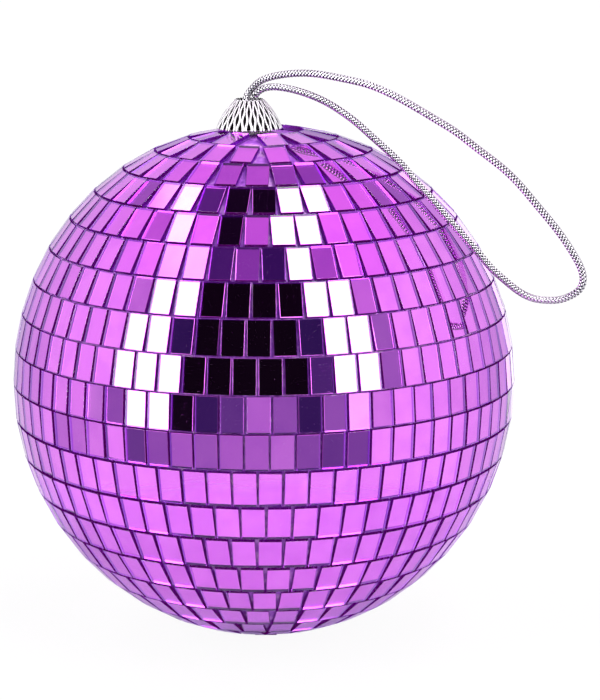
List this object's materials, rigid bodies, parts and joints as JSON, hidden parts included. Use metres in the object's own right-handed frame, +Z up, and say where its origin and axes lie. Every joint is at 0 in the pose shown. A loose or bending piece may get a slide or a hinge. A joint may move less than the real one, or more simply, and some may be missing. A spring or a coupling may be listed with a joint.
{
  "type": "mirror ball",
  "caption": "Hanging mirror ball: foam ball covered in rows of purple glass mirror tiles, with a silver filigree cap and a silver cord loop.",
  "frame": {"origin": "hanging point: centre of the crown of the filigree cap, where the cord leaves it", "axes": "+Z up along the cap's axis; the ball hangs below; -Y is the side seen from the front; the cord loop has flopped towards +X"},
  "size_m": [0.168, 0.1505, 0.171],
  "materials": {
    "mirror_tile": "purple back-silvered glass",
    "foam": "moulded expanded polystyrene",
    "tile_adhesive": "violet adhesive",
    "clear_glue": "clear hot-melt glue",
    "white_plastic": "moulded",
    "silver_cast": "silver-plated cast filigree",
    "silver_cord": "metallic silver braid",
    "steel": "plain"
  },
  "bodies": {
    "ball": {"tile_row_01": "mirror_tile", "tile_row_02": "mirror_tile", "tile_row_03": "mirror_tile", "tile_row_04": "mirror_tile", "tile_row_05": "mirror_tile", "tile_row_06": "mirror_tile", "tile_row_07": "mirror_tile", "tile_row_08": "mirror_tile", "tile_row_09": "mirror_tile", "tile_row_10": "mirror_tile", "tile_row_11": "mirror_tile", "tile_row_12": "mirror_tile", "tile_row_13": "mirror_tile", "tile_row_14": "mirror_tile", "tile_row_15": "mirror_tile", "tile_row_16": "mirror_tile", "tile_row_17": "mirror_tile", "tile_row_18": "mirror_tile", "tile_row_19": "mirror_tile", "tile_row_20": "mirror_tile", "south_pole_tiles": "mirror_tile", "foam_core_upper": "foam", "foam_core_lower": "foam", "adhesive_bed_upper": "tile_adhesive", "adhesive_bed_lower": "tile_adhesive", "core_glue_film": "clear_glue", "cap_glue_bead": "clear_glue", "hanger_plug": "white_plastic", "filigree_cap": "silver_cast"},
    "cord_base": {"cord_stubs": "silver_cord", "cord_knot": "silver_cord", "knot_washer": "steel"},
    "cord_root": {"cord_at_crown": "silver_cord"},
    "cord_near": {"cord_near_run": "silver_cord"},
    "cord_mid": {"cord_mid_run": "silver_cord"},
    "cord_end": {"cord_loop_end": "silver_cord"}
  },
  "joints": [
    {"name": "loop_swivel", "type": "hinge", "parent": "ball", "child": "cord_base", "pos_m": [0, 0, 0], "axis": [0, 0, 1], "continuous": true},
    {"name": "loop_swing", "type": "hinge", "parent": "cord_base", "child": "cord_root", "pos_m": [-0.00112, 0.00043, 0.0012], "axis": [-0.3584, -0.9336, 0], "range_deg": [0, 35]},
    {"name": "cord_bend_1", "type": "hinge", "parent": "cord_root", "child": "cord_near", "pos_m": [0.00934, -0.00358, 0.00735], "axis": [-0.3584, -0.9336, 0], "range_deg": [0, 50]},
    {"name": "cord_bend_2", "type": "hinge", "parent": "cord_near", "child": "cord_mid", "pos_m": [0.03734, -0.01434, 0.00455], "axis": [-0.3584, -0.9336, 0], "range_deg": [0, 31]},
    {"name": "cord_bend_3", "type": "hinge", "parent": "cord_mid", "child": "cord_end", "pos_m": [0.06722, -0.0258, -0.01285], "axis": [-0.3584, -0.9336, 0], "range_deg": [0, 26]}
  ],
  "couplings": [
    {"joint": "cord_bend_1", "follows": "loop_swing", "ratio": 1.4},
    {"joint": "cord_bend_2", "follows": "loop_swing", "ratio": 0.86},
    {"joint": "cord_bend_3", "follows": "loop_swing", "ratio": 0.72}
  ]
}
